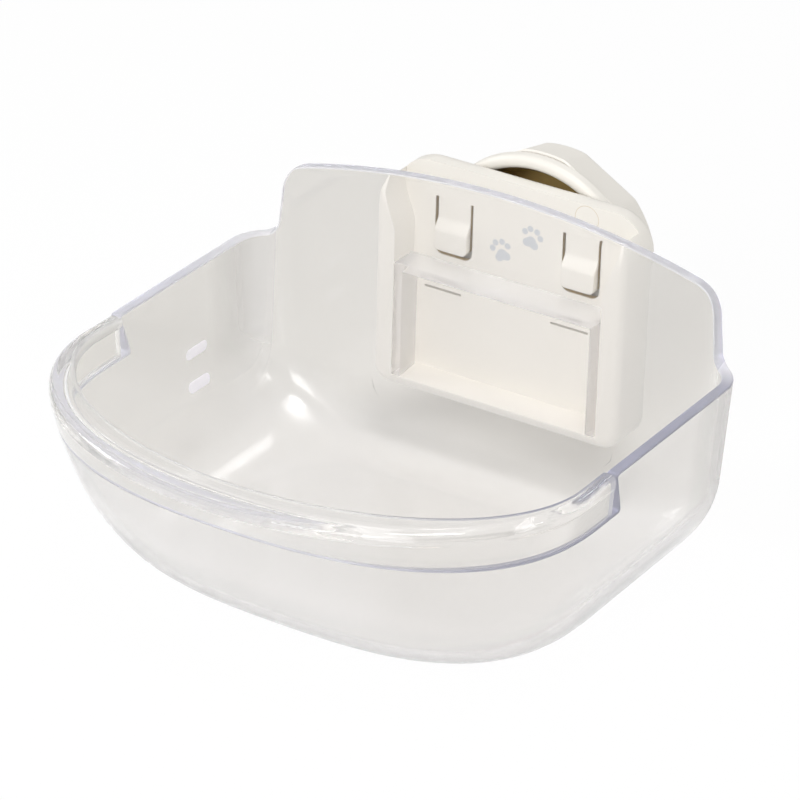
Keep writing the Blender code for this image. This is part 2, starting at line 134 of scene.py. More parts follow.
def mark_edges(piece, faces):
    """Notes on each face whether it belongs to a free edge, as a number that a finish can read."""
    flags = np.zeros(len(piece.data.polygons), np.float32)
    flags[faces] = 1.0
    piece.data.attributes.new("edge", "FLOAT", "FACE").data.foreach_set("value", flags)
    print(piece.name, len(faces), "edge faces")


def dress(piece, body, node):
    """The piece moves with a body and stands for a packed solid, which it hides."""
    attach(piece, body)
    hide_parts(node)
    print(piece.name, "stands for", node)


print("a rounded corner and the flat after it take", FACES_PER_CORNER, "faces")

# %% [markdown]
# ## Shader maths as Python
# A finish is easier to read as an expression than as a list of links. The class below wraps a socket,
# so that `1 - mask` or `noise * 0.1` adds the Math nodes by itself, and one method makes any other node.

# %% Shader values
class Value:
    """A shader socket that can be used in Python arithmetic."""

    def __init__(self, owner, socket):
        self.owner = owner
        self.socket = socket

    def math(self, operation, other=0.0, swapped=False):
        """One Math node on this value and another, in this order or swapped."""
        pair = [other, self] if swapped else [self, other]
        return self.owner.node("ShaderNodeMath", {"operation": operation}, dict(enumerate(pair)))[0]

    def __add__(self, other):
        return self.math("ADD", other)

    def __sub__(self, other):
        return self.math("SUBTRACT", other)

    def __rsub__(self, other):
        return self.math("SUBTRACT", other, True)

    def __mul__(self, other):
        return self.math("MULTIPLY", other)

    __radd__ = __add__
    __rmul__ = __mul__


class Nodes:
    """A node tree that grows from expressions."""

    def __init__(self, tree):
        self.tree = tree

    def put(self, socket, value):
        """Links a value to a socket, or sets a plain number or colour on it."""
        if isinstance(value, Value):
            self.tree.links.new(value.socket, socket)
        else:
            socket.default_value = value

    def node(self, kind, settings=None, inputs=None):
        """Any node: its settings first, then values or links for its sockets; returns its outputs."""
        made = self.tree.nodes.new(kind)
        for key, value in (settings or {}).items():
            setattr(made, key, value)
        for key, value in (inputs or {}).items():
            self.put(made.inputs[key], value)
        return [Value(self, output) for output in made.outputs]

    def blend(self, mask, first, second):
        """The first colour where the mask is 0, the second where it is 1."""
        inputs = {0: mask, 6: first, 7: second}
        return self.node("ShaderNodeMix", {"data_type": "RGBA"}, inputs)[2]

    def rays(self):
        """What kind of ray is asking: outputs by name, such as Is Camera Ray, each of them 0 or 1."""
        return {output.socket.name: output for output in self.node("ShaderNodeLightPath")}


print("reflected operators:", [name for name in vars(Value) if name.startswith("__r")])

# %% [markdown]
# ## A finish
# Each plastic is one material. The class below starts from Blender's own surface shader and adds the few
# things that these finishes share: coordinates in millimetres, soft steps, noise, and milky mixtures.

# %% Finish class
class Finish(Nodes):
    """A material built from expressions."""

    def __init__(self, name):
        self.material = bpy.data.materials.new(name)
        self.material.use_nodes = True
        super().__init__(self.material.node_tree)
        self.shader = self.tree.nodes["Principled BSDF"]
        self.output = self.tree.nodes["Material Output"]

    def set(self, **sockets):
        """Sets the surface shader's sockets, with spaces in their names written as underscores."""
        for key, value in sockets.items():
            self.put(self.shader.inputs[key.replace("_", " ")], value)

    def plain(self):
        """The surface shader itself."""
        return Value(self, self.shader.outputs[0])

    def place(self):
        """The object coordinates in metres, as one vector."""
        return self.node("ShaderNodeTexCoord")[3]

    def axes(self):
        """The three object coordinates in millimetres."""
        return [axis * (1 / MM) for axis in self.node("ShaderNodeSeparateXYZ", {}, {0: self.place()})]

    def within(self, value, low, high):
        """1 between two limits, 0 outside."""
        return value.math("GREATER_THAN", low) * value.math("LESS_THAN", high)

    def ramp(self, value, low, high):
        """0 at the low value, 1 at the high one, even between and level beyond."""
        return self.node("ShaderNodeMapRange", {}, {"Value": value, "From Min": low, "From Max": high})[0]

    def noise(self, scale, detail):
        """Noise from 0 to 1, with scale counted in features to the metre."""
        inputs = {"Vector": self.place(), "Scale": scale, "Detail": detail}
        return self.node("ShaderNodeTexNoise", {}, inputs)[0]

    def bump(self, height, distance, strength):
        """A normal that tilts with a height; distance is the height's reach in metres."""
        inputs = {"Height": height, "Distance": distance, "Strength": strength}
        return self.node("ShaderNodeBump", {}, inputs)[0]

    def mix(self, share, first, second):
        """The first shader where the share is 0, the second where it is 1."""
        return self.node("ShaderNodeMixShader", {}, {0: share, 1: first, 2: second})[0]

    def cloud(self, shader, share, colour):
        """A shader made milky by a share of matt colour."""
        return self.mix(share, shader, self.node("ShaderNodeBsdfDiffuse", {}, {"Color": colour})[0])

    def show(self, shader):
        """Makes a shader the one that is rendered."""
        self.put(self.output.inputs["Surface"], shader)


print("finishes count in millimetres:", 1 / MM, "to the metre")

# %% [markdown]
# ## The wall of the tub
# The tub's outline is a straight rear, two rounded corners, two straight sides and a blunt front. It
# draws in towards the floor, most at the front. A point of the wall is found from a station round the
# outline, a height, and a share of the way from the outer skin to the inner one, so anything moulded on
# the wall can be placed by the same function.

# %% Tub sizes
REAR_Y, WALL, FLOOR, RIM = 40.0, 2.5, 2.8, 45.0
HALF_WIDTH, FRONT_REACH, FRONT_CENTRE = 61.0, 106.6, 61.5
RIM_POWER, BASE_POWER = 2.0, 2.84
CORNER_RADIUS, CORNER_GROWTH, CENTRE_SHIFT = 10.3, 0.27, 0.62
SIDE_DRAFT, FRONT_DRAFT = math.radians(3.7), math.radians(32.3)
FRONT_BASE_RADIUS, SIDE_BASE_RADIUS, REAR_BASE_RADIUS = 17.0, 23.2, 13.0


def draw_in(height, floor, draft, radius):
    """How far a wall has drawn in under the rim: a straight draft, then a circular foot."""
    drop = RIM - height
    depth = RIM - floor
    tangent = depth - radius * (1 - math.sin(draft))
    centre = tangent * math.tan(draft) + radius * math.cos(draft)
    below = np.clip(drop - (depth - radius), 0.0, radius)
    return np.where(drop <= tangent, drop * math.tan(draft), centre - np.sqrt(radius**2 - below**2))


def tub_sides(height, inner):
    """Half width, rear, front, end of the straight sides, corner radius and front exponent at a height."""
    level = np.minimum(height, RIM)
    floor = FLOOR * inner
    wall = WALL * inner
    side = draw_in(level, floor, SIDE_DRAFT, SIDE_BASE_RADIUS - wall)
    front = draw_in(level, floor, FRONT_DRAFT, FRONT_BASE_RADIUS - wall)
    rear = draw_in(level, floor, 0.0, REAR_BASE_RADIUS - wall)
    half = HALF_WIDTH - side - wall / math.cos(SIDE_DRAFT)
    nose = REAR_Y - FRONT_REACH + front + wall / math.cos(FRONT_DRAFT)
    corner = CORNER_RADIUS - wall + CORNER_GROWTH * side
    centre = REAR_Y - FRONT_CENTRE + CENTRE_SHIFT * front
    power = RIM_POWER + (BASE_POWER - RIM_POWER) * np.sqrt(1 - level / RIM)
    return half, REAR_Y + WALL - wall - rear, nose, centre, corner, power


print("half width at the floor:", round(float(tub_sides(0.0, False)[0]), 1), "mm")

# %% [markdown]
# ## One point of the wall
# The six stretches of the outline are numbered, so that a station is the stretch plus the share of it
# that has been passed. Distances measured along the rim then give stations, and stations give points.

# %% Wall functions
STRETCHES = 6
LAST_STATION = STRETCHES - 1e-6  # the end of the right side, where the front begins again
RIM_SAMPLES = 12000


def front_curve(half, nose, centre, power, turn):
    """The blunt front: a superellipse from the right end (turn 0) to the left end (turn pi). Each point
    of a circle is moved out along its ray until the powers of its coordinates add up to one."""
    x, y = np.cos(turn), np.sin(turn)
    reach = (np.abs(x) ** power + np.abs(y) ** power) ** (-1 / power)
    return half * x * reach, centre + (nose - centre) * y * reach


def skin(station, height, inner):
    """A point of the outer or inner skin. Stations 0 to 6 are front, left side, left corner, rear, right
    corner and right side."""
    station, height = np.broadcast_arrays(station, height)
    half, rear, nose, centre, corner, power = tub_sides(height, inner)
    part = np.floor(station)
    q = station - part
    front = front_curve(half, nose, centre, power, np.pi * q)
    left = (-half, centre + (rear - corner - centre) * q)
    turn = np.pi * (1 - 0.5 * q)
    left_corner = (corner - half + corner * np.cos(turn), rear - corner + corner * np.sin(turn))
    back = ((half - corner) * (2 * q - 1), rear)
    turn = 0.5 * np.pi * (1 - q)
    right_corner = (half - corner + corner * np.cos(turn), rear - corner + corner * np.sin(turn))
    right = (half, rear - corner + (centre - rear + corner) * q)
    runs = [front, left, left_corner, back, right_corner, right]
    chosen = [part == index for index in range(STRETCHES)]
    x = np.select(chosen, [np.broadcast_to(run[0], part.shape) for run in runs])
    y = np.select(chosen, [np.broadcast_to(run[1], part.shape) for run in runs])
    return np.stack([x, y, height + 0.0 * x], -1)


rim_stations = np.linspace(0.0, STRETCHES, RIM_SAMPLES + 1)[:-1]
rim_line = skin(rim_stations, RIM, False)
rim_run = np.concatenate([[0.0], np.cumsum(np.linalg.norm(np.diff(rim_line, axis=0), axis=1))])
RIM_LENGTH = rim_run[-1] + np.linalg.norm(rim_line[0] - rim_line[-1])


def wall(run, height, share):
    """A point of the wall from the distance run along the rim, the height and the share from the outer
    skin (0) to the inner one (1)."""
    known_runs = np.append(rim_run, RIM_LENGTH)
    station = np.interp(np.mod(run, RIM_LENGTH), known_runs, np.append(rim_stations, LAST_STATION))
    outer = skin(station, height, False)
    inner = skin(station, height, True)
    share = np.asarray(share, float)[..., None]
    return outer + (inner - outer) * share


print("the rim is", round(RIM_LENGTH, 1), "mm round")

# %% [markdown]
# ## The crowned rear wall
# The rear wall rises above the rim in a wide arc with round corners. Its edge is drawn from circles and
# one straight line. The bars that stand on the back of this wall need grid lines of their own, so those
# are put among the columns of the crown.

# %% Crown outline
CROWN_RISE, CROWN_RADIUS, CROWN_CORNER = 23.6, 187.0, 8.0
BACK_HALF_TOP, BACK_HALF_FOOT, BACK_FILLET = 53.8, 54.6, 3.0
FRAME_HALF, FRAME_ROOT, FRAME_TIP, FRAME_DEPTH = 25.2, 3.3, 1.6, 7.0
FRAME_TOP, FRAME_TOP_BAR, FRAME_FOOT = 45.5, 1.7, 18.8
PAIR = 0.06  # half the distance between two grid lines that stand for one sharp step
LINE_GAP = 0.3  # the least distance from a bar's grid line to its neighbour


def arc(centre, radius, start, end, steps):
    """Points on a circle between two angles in degrees."""
    turn = np.radians(np.linspace(start, end, steps + 1))
    return np.stack([centre[0] + radius * np.cos(turn), centre[1] + radius * np.sin(turn)], -1)


def crown_half():
    """The rear wall's right edge, as x and height: fillet, leaning side, round corner, wide crown arc."""
    below = RIM + CROWN_RISE - CROWN_RADIUS
    corner_x = BACK_HALF_TOP - CROWN_CORNER
    corner_z = below + math.sqrt((CROWN_RADIUS - CROWN_CORNER) ** 2 - corner_x**2)
    lean = math.degrees(math.atan2(corner_z - below, corner_x))
    foot = (BACK_HALF_FOOT + BACK_FILLET, RIM + BACK_FILLET)
    fillet = arc(foot, BACK_FILLET, 270.0, 180.0, steps=10)
    corner = arc((corner_x, corner_z), CROWN_CORNER, 0.0, lean, steps=14)
    side = np.linspace(fillet[-1], corner[0], 9)[1:-1]
    bar_lines = FRAME_HALF + np.array([PAIR, -PAIR, -FRAME_TIP, -FRAME_ROOT])
    across = np.linspace(corner[-1, 0], 0.0, 34)[1:-1]
    across = across[np.abs(across[:, None] - bar_lines).min(1) > LINE_GAP]
    across = np.sort(np.concatenate([across, bar_lines]))[::-1]
    crown = np.stack([across, below + np.sqrt(CROWN_RADIUS**2 - across**2)], -1)
    return np.concatenate([fillet, side, corner, crown])


print("half the crown has", len(crown_half()), "points")

# %% [markdown]
# ## The free edge of the wall
# The edge runs along the front notch, steps up to the side rims, and rises to the crowned rear wall. It
# is drawn as one path in two numbers, distance along the rim and height. Where it climbs steeply, the
# columns of the grid fan out from a wider base, so that no face is squeezed.

# %% Edge path
NOTCH_DEPTH, NOTCH_BACK, NOTCH_DIP, NOTCH_LIP = 9.5, 52.6, 0.8, 1.0
NOTCH_FAN, CROWN_MIDDLE = 30, 24  # columns fanned at a notch end, and columns left alone in the crown


def level_line(runs, height):
    """A level stretch of the edge."""
    return np.stack([runs, np.full_like(runs, height)], -1)


def edge_path():
    """Distance and height along the whole free edge, once round, and the index ranges to be fanned."""
    notch = np.interp(1.0, rim_stations, rim_run) + FRONT_CENTRE - NOTCH_BACK
    low = RIM - NOTCH_DEPTH
    floor_line = level_line(np.linspace(0.0, notch - NOTCH_DIP, 150)[:-1], low)
    step = arc((notch - NOTCH_DIP, low + NOTCH_DIP), NOTCH_DIP, -90.0, 0.0, steps=5)
    rise_z = np.linspace(low + NOTCH_DIP, RIM - NOTCH_LIP, 10)[1:-1]
    rise = np.stack([np.full_like(rise_z, notch), rise_z], -1)
    top = arc((notch + NOTCH_LIP, RIM - NOTCH_LIP), NOTCH_LIP, 180.0, 90.0, steps=5)
    half = crown_half()
    rear = (rim_stations >= 2.0) & (rim_stations < 5.0)
    crown_run = np.interp(-half[:, 0], rim_line[rear, 0], rim_run[rear])
    crown = np.stack([crown_run, half[:, 1]], -1)
    side = level_line(np.linspace(notch + NOTCH_LIP, crown_run[0], 46)[1:-1], RIM)
    left = np.concatenate([step, rise, top, side, crown])
    middle = np.interp(3.5, rim_stations, rim_run)
    right = np.stack([2 * middle - left[::-1, 0], left[::-1, 1]], -1)
    apex = np.array([[middle, RIM + CROWN_RISE]])
    ending = level_line(np.linspace(right[-1, 0], RIM_LENGTH, 12)[1:-1], low)
    first = len(floor_line)
    last = first + len(left)
    fans = [(first, first + NOTCH_FAN), (last - len(crown), last - CROWN_MIDDLE)]
    fans += [(first + last + len(left) - b, first + last + len(left) - a) for a, b in fans]
    return np.concatenate([floor_line, left, apex, right, ending]), fans


path, fans = edge_path()
around = np.roll(path, -1, 0) - np.roll(path, 1, 0)
around[[0, -1], 0] = [path[1, 0] + RIM_LENGTH - path[-1, 0], RIM_LENGTH - path[-2, 0]]
around /= np.linalg.norm(around, axis=1, keepdims=True)
into_wall = np.stack([around[:, 1], -around[:, 0]], -1)
base_run = path[:, 0].copy()
for start, end in fans:
    base_run[start : end + 1] = np.linspace(base_run[start], base_run[end], end - start + 1)
print("the edge has", len(path), "columns")

# %% [markdown]
# ## The clear bowl
# One closed grid makes the whole bowl: up the outside from the flat underside, over the rounded edge and
# down the inside. The U-shaped bars that hook into the bracket are pushed out of the rear wall, so that
# wall and bars are one body, as in the mould; a separate block would show a false joint in clear plastic.

# %% Bowl
EDGE_ROUND = 0.35
JOIN = 26.0  # height up to which the columns stand straight
ON_SKIN = 0.01  # a point this near to the flat rear counts as on it
CROWN_FOOT = 5.0  # height over the rim from which an edge point belongs to the crown
ROWS_BARRED, ROWS_FREE = 30.0, 38.0  # rows follow the bars up to the first x, the edge past the second
UPRIGHT, LEANING = 28.0, 34.0  # columns stand upright up to the first x, and follow the draft past the second


def fade_out(x, near, far):
    """1 up to the near distance from the middle, 0 past the far one, even between."""
    return np.clip((far - np.abs(x)) / (far - near), 0.0, 1.0)


def push_bars(outside, rear_x):
    """Stands the columns upright behind the bracket and moves the bars' points out of the rear wall."""
    flat_rear = outside[..., 1] > REAR_Y + WALL - ON_SKIN
    outside[..., 0] += flat_rear * fade_out(rear_x, UPRIGHT, LEANING) * (rear_x - outside[..., 0])
    x, z = np.abs(outside[..., 0]), outside[..., 2]
    framed = flat_rear & (z > FRAME_FOOT) & (z < FRAME_TOP) & (x < FRAME_HALF)
    bars = (x > FRAME_HALF - FRAME_TIP - PAIR) | (z > FRAME_TOP - FRAME_TOP_BAR)
    outside[..., 1] += FRAME_DEPTH * (framed & bars)


def bowl_grid():
    """Rows: outer foot, outer wall, rounded edge, inner wall, inner foot. Each upper row lies between the
    base and the edge; behind the bracket the rows follow the bars instead."""
    foot = 1 - np.cos(np.linspace(0.0, 0.5 * np.pi, 17))
    outer_low = np.append(SIDE_BASE_RADIUS * foot, [FRAME_FOOT - PAIR, FRAME_FOOT + PAIR, JOIN])
    inner_low = np.append(FLOOR + (SIDE_BASE_RADIUS - WALL) * foot, JOIN)
    bar = FRAME_TOP - FRAME_TOP_BAR
    knots = np.append(np.linspace(JOIN, bar - PAIR, 8)[1:], [bar + PAIR, FRAME_TOP - PAIR, FRAME_TOP + PAIR])
    ahead = np.linspace(0.0, 1.0, 9)[1:, None]
    share = np.linspace(0.0, 1.0, len(knots) + len(ahead) + 1)[1:, None]
    start = path + EDGE_ROUND * into_wall
    run = base_run + (start[:, 0] - base_run) * share
    height = JOIN + (start[:, 1] - JOIN) * share
    at_bars = np.repeat(knots[:, None], len(path), 1)
    above_bars = knots[-1] + (start[:, 1] - knots[-1]) * ahead
    rear_x = wall(path[:, 0], RIM, 0.0)[:, 0]
    behind = (path[:, 1] > RIM + CROWN_FOOT) * fade_out(rear_x, ROWS_BARRED, ROWS_FREE)
    height = height + (np.concatenate([at_bars, above_bars]) - height) * behind
    turn = np.linspace(0.0, 0.5 * np.pi, 6)
    drop, inset = EDGE_ROUND * (1 - np.sin(turn)), EDGE_ROUND * (1 - np.cos(turn))
    depth = np.concatenate([drop, drop[::-1]])[1:-1]
    across = np.concatenate([inset, WALL - inset[::-1]])[1:-1] / WALL
    edge = path + depth[:, None, None] * into_wall
    outside = np.concatenate([wall(base_run, np.sort(outer_low)[:, None], 0.0), wall(run, height, 0.0)])
    push_bars(outside, rear_x)
    rounding = wall(edge[..., 0], edge[..., 1], np.repeat(across[:, None], len(path), 1))
    inner_high = wall(run[::-1], height[::-1], 1.0)
    inner = wall(base_run, inner_low[::-1, None], 1.0)
    edge_rows = np.arange(len(outside) - 1, len(outside) + len(rounding))
    return np.concatenate([outside, rounding, inner_high, inner]), edge_rows


grid, edge_rows = bowl_grid()
bowl = surface("clear_bowl", grid)
mark_edges(bowl, (edge_rows[:, None] * len(path) + np.arange(len(path))).reshape(-1))
dress(bowl, "bowl", "bowl")

# %% [markdown]
# ## Level marks
# Two short frosted pills on the inner left wall show how full the bowl is. They are thin raised patches,
# laid on the wall by its own formula; on the real mould they are two etched dimples.

# %% Level marks
MARK_LONG, MARK_TALL, MARK_Y, MARK_HEIGHTS = 7.8, 2.5, 13.9, (26.5, 18.8)
MARK_LOOPS = ((0.3, 0.09), (0.94, 0.09), (1.0, 0.06), (1.0, 0.03))  # share of the pill, mm off the wall


def full_turn(count):
    """Evenly spaced angles once round, each given once."""
    return np.linspace(0.0, 2 * np.pi, count + 1)[:-1]


def mark_grid(height):
    """Loops of a pill outline, from its middle to its rim and down to just over the wall."""
    turn = full_turn(64)
    radius = 0.5 * MARK_TALL
    along = radius * np.cos(turn) + np.sign(np.cos(turn)) * 0.5 * (MARK_LONG - MARK_TALL)
    loops = []
    for scale, proud in MARK_LOOPS:
        z = height + scale * radius * np.sin(turn)
        x = proud - tub_sides(z, True)[0]
        loops.append(np.stack([x, MARK_Y + scale * along, z], -1))
    return np.stack(loops)


marks = [surface(f"level_mark_{i}", mark_grid(height)) for i, height in enumerate(MARK_HEIGHTS)]
for mark in marks:
    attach(mark, "bowl")

# %% [markdown]
# ## The lip guard
# A second clear strip fills the front notch. Its section is a flush skirt outside, a small bead, a flat
# top, and a return that reaches inward over the food. The section changes along the strip, because the
# return is widest at the front, so every corner of it is its own curve from one end to the other.

# %% Guard lines
FIT = 0.3
GUARD_REACH, GUARD_HALF, GUARD_POWER, GUARD_STRAIGHT = 97.8, 57.6, 1.97, 1.0 / 16.0
GUARD_BEAD, BEAD_HEIGHT, RETURN = 0.6, 2.6, 2.3
GUARD_STATIONS = 240


def guard_line(sides, share):
    """A rim-like line between the guard's ends: a short straight, the front curve, a short straight."""
    half, _, nose, centre, _, power = sides
    end = REAR_Y - NOTCH_BACK - FIT
    turn = (share - GUARD_STRAIGHT) / (1 - 2 * GUARD_STRAIGHT)
    x, y = front_curve(half, nose, centre, power, np.pi * np.clip(turn, 0.0, 1.0))
    along = np.minimum(share, 1 - share) / GUARD_STRAIGHT
    straight = (turn < 0) | (turn > 1)
    x = np.where(straight, np.copysign(half, 0.5 - share), x)
    return np.stack([x, np.where(straight, end + (centre - end) * along, y)], -1)


def lowered(flat, drop):
    """A flat line of points at a depth below the rim."""
    return np.concatenate([flat, np.full((len(flat), 1), RIM - drop)], 1)


print("the guard leaves", FIT, "mm in its notch")

# %% [markdown]
# ## The guard's section
# Twelve corners go round the section, each with its own rounding. They are listed from the skirt's foot
# outside, over the bead and the flat top, to the return's free edge and back down the inner skin.

# %% Guard
BEAD_SLOPE, BEAD_SHOULDER, SHOULDER_SHARE = 0.5, 0.9, 0.85
TOP_SETBACK, FREE_SETBACK, FREE_TOP, FREE_LOW = 0.7, 0.5, 0.8, 0.4
UNDER_SHARE, FILLET_DROP = 0.3, 0.8


def guard_grid():
    """Rows of eased sections; each corner is a line of the rim, the return's free edge or the skins."""
    share = np.linspace(0.0, 1.0, GUARD_STATIONS + 1)
    rim = guard_line(tub_sides(np.array(RIM), False), share)
    free_sides = (GUARD_HALF, 0.0, REAR_Y - GUARD_REACH, REAR_Y - FRONT_CENTRE, 0.0, GUARD_POWER)
    free = guard_line(free_sides, share)
    inward = (free - rim) / np.linalg.norm(free - rim, axis=1, keepdims=True)
    swell = np.clip(np.minimum(share, 1 - share) / (2 * GUARD_STRAIGHT), 0.0, 1.0)
    proud = (GUARD_BEAD * swell**2 * (3 - 2 * swell))[:, None]

    def skin_at(drop, inner):
        """A line of the outer or inner skin at a depth below the rim."""
        return lowered(guard_line(tub_sides(np.array(RIM - drop), inner), share), drop)

    seat = NOTCH_DEPTH - FIT
    root = skin_at(RETURN, True)
    corners = [
        (skin_at(seat, False), 0.3),
        (skin_at(BEAD_HEIGHT + BEAD_SLOPE, False), 0.4),
        (lowered(rim - proud * inward, BEAD_HEIGHT), 0.4),
        (lowered(rim - SHOULDER_SHARE * proud * inward, BEAD_SHOULDER), 0.8),
        (lowered(rim + TOP_SETBACK * inward, 0.0), 0.7),
        (lowered(free - FREE_SETBACK * inward, 0.0), 0.8),
        (lowered(free, FREE_TOP), 0.6),
        (lowered(free, RETURN - FREE_LOW), 0.5),
        (lowered(free - FREE_SETBACK * inward, RETURN), 0.5),
        (root + UNDER_SHARE * (lowered(free, RETURN) - root), 0.6),
        (skin_at(RETURN + FILLET_DROP, True), 0.6),
        (skin_at(seat, True), 0.3),
    ]
    outline = np.stack([corner for corner, _ in corners], 1)
    return ease_corners(outline, [radius for _, radius in corners])


def guard_edges(grid):
    """Faces of the lower outer corner, the three corners of the free edge, the underside and both ends."""
    rows, columns, _ = grid.shape
    free_edge = np.arange(5, 8)[:, None] * FACES_PER_CORNER + np.arange(FACES_PER_CORNER)
    underside = np.arange(columns - FACES_PER_CORNER, columns)
    chosen = np.concatenate([np.arange(EASE_STEPS), free_edge.reshape(-1), underside])
    along = np.arange(rows - 1)[:, None] * columns + chosen
    return np.append(along.reshape(-1), (rows - 1) * columns + np.arange(2))


grid = guard_grid()
guard = surface("clear_lip_guard", grid)
mark_edges(guard, guard_edges(grid))
dress(guard, "bowl", "lip_guard")

# %% [markdown]
# ## The bracket and its back plate
# These are flat mouldings with rounded outlines, already right as solids. A merged copy of each gets its
# edges eased by a fine bevel, which is what catches the light on the real piece.

# %% Bracket pieces
MERGE_DISTANCE, SAME_HEIGHT = 0.002 * MM, 0.02 * MM
FLAT_ANGLE, EDGE_ANGLE = math.radians(0.6), math.radians(40.0)
EDGE_EASE = 0.2
PLATE_Y, PLATE = 50.8, 1.5
LATCH_ROOT, LATCH_END = 59.2, 47.5


def eased(name, node, keep=math.inf):
    """A copy of a packed solid with its loose corners merged, flat faces joined and edges bevelled, but not
    the edges at the height to be kept sharp."""
    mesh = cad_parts[node].data.copy()
    shape = bmesh.new()
    shape.from_mesh(mesh)
    bmesh.ops.remove_doubles(shape, verts=shape.verts, dist=MERGE_DISTANCE)
    bmesh.ops.dissolve_limit(shape, angle_limit=FLAT_ANGLE, verts=shape.verts, edges=shape.edges)
    weight = shape.edges.layers.float.new("bevel_weight_edge")
    for face in shape.faces:
        face.smooth = True
    for edge in shape.edges:
        kept = all(abs(vert.co.z - keep * MM) < SAME_HEIGHT for vert in edge.verts)
        edge[weight] = float(edge.calc_face_angle(0.0) > EDGE_ANGLE and not kept)
    shape.to_mesh(mesh)
    shape.free()
    mesh.materials.clear()
    mesh.set_sharp_from_angle(angle=EDGE_ANGLE)
    piece = add_object(name, mesh)
    bevel = piece.modifiers.new("eased_edges", "BEVEL")
    bevel.width = EDGE_EASE * MM
    bevel.segments = 2
    bevel.limit_method = "WEIGHT"
    bevel.harden_normals = True
    print(name, len(mesh.polygons), "faces")
    return piece


cover = eased("bracket_cover", "bracket_front", LATCH_ROOT + FIT)
plate = eased("bracket_back_plate", "bracket_back")
dress(cover, "bracket", "bracket_front")
dress(plate, "bracket", "bracket_back")

# %% [markdown]
# ## The latch tongues
# Each tongue is a thin strip cut free on three sides, with a bump near its end that snaps over the clear
# bar. It is carried as a rounded section from the root to the free end, which gives the bump a true wave.

# %% Tongues
LATCH_X, LATCH_WIDTH, LATCH_CORNER, LATCH_BUMP = 15.7, 8.1, 1.4, 1.5
BUMP_HEIGHT, BUMP_RAMP = 4.4, 3.3
TONGUE_EDGE = 0.4  # rounding of the free end's front edge
TONGUE_EASE = (0.15, 0.15, 0.35, 0.35)  # rounding of the section's back and front corners
ROOT_SHARE = 0.95  # share of the gap above the window that the root fills
ROOT_KEPT = 0.5  # share of the thickness that the root keeps


def tongue_grid(side):
    """Sections of a slab from the root down. The root is chamfered behind, so that it can turn; the front
    swells by half a cosine wave, the free end narrows along quarter circles and has a round front edge."""
    corner = LATCH_END + LATCH_CORNER
    foot = corner - LATCH_CORNER * np.sin(np.linspace(0.0, 0.5 * np.pi, 12))
    z = np.concatenate([np.linspace(LATCH_ROOT + ROOT_SHARE * FIT, corner, 36)[:-1], foot])
    fall = np.clip((z - LATCH_END - BUMP_HEIGHT) / BUMP_RAMP, 0.0, 1.0)
    rim = np.clip((LATCH_END + TONGUE_EDGE - z) / TONGUE_EDGE, 0.0, 1.0)
    front = PLATE_Y - 0.5 * LATCH_BUMP * (1 + np.cos(np.pi * fall)) + TONGUE_EDGE * (1 - np.sqrt(1 - rim**2))
    past = np.clip(corner - z, 0.0, LATCH_CORNER)
    half = 0.5 * LATCH_WIDTH - LATCH_CORNER + np.sqrt(LATCH_CORNER**2 - past**2)
    left, right = side * LATCH_X - half, side * LATCH_X + half
    back = PLATE_Y + PLATE * np.where(z > LATCH_ROOT, ROOT_KEPT, 1.0)
    outline = [(left, back), (right, back), (right, front), (left, front)]
    corners = np.stack([np.stack([x, y, z], -1) for x, y in outline], 1)
    return ease_corners(corners, TONGUE_EASE)


left_tongue = surface("left_tongue", tongue_grid(-1))
right_tongue = surface("right_tongue", tongue_grid(1))
dress(left_tongue, "latch_left", "latch_left")
dress(right_tongue, "latch_right", "latch_right")

# %% [markdown]
# ## The knob
# Behind the bracket sits a hollow knob with six finger flats. It is a profile turned round one axis; on
# the outside each radius is cut down to a flat where the flat lies inside the circle. A Boolean with six
# blocks would do it too, but would leave hard lines where the real flats run out softly.

# %% Knob
AXIS_Z, RING_Y, KNOB_Y, KNOB_BACK_Y = 46.2, 56.2, 59.4, 70.0
KNOB_RADIUS, KNOB_BACK_RADIUS, KNOB_EDGE, KNOB_FLATS = 25.0, 23.3, 1.9, 6
FLAT_SHARE, FLAT_BLEND = math.cos(math.radians(18.2)), 400.0
KNOB_WALL, KNOB_BACK, BOSS_RADIUS, STUD_RADIUS, MOUTH_WALL = 2.0, 2.4, 7.0, 4.0, 1.45
MOUTH_RADIUS = KNOB_RADIUS * FLAT_SHARE - MOUTH_WALL
SLEEVE_LENGTH, LONGEST_STEP = 3.0, 2.0
CUP_EASE, BOSS_EASE, SOFT_EASE, FINE_EASE = 1.0, 0.8, 0.4, 0.3  # chamfers
CAP_RADIUS, BACK_RING, BORE_END = 2.0, 14.0, 0.6


def turned(profile, turns, trim=1.0):
    """Points of (radius, y) pairs carried round the clamp's axis; trim scales each radius at each turn."""
    radius = profile[:, :1] * trim
    x = radius * np.cos(turns)
    z = AXIS_Z + radius * np.sin(turns)
    return np.stack([x, np.broadcast_to(profile[:, 1:], x.shape), z], -1)


def dense(corners, spacing):
    """A polyline with extra points, so that no step is longer than the spacing."""
    corners = np.array(corners, float)
    parts = []
    for here, there in zip(corners[:-1], corners[1:]):
        count = max(1, int(np.ceil(np.linalg.norm(there - here) / spacing)))
        parts.append(here + (there - here) * np.linspace(0, 1, count, endpoint=False)[:, None])
    return np.concatenate(parts + [corners[-1:]])


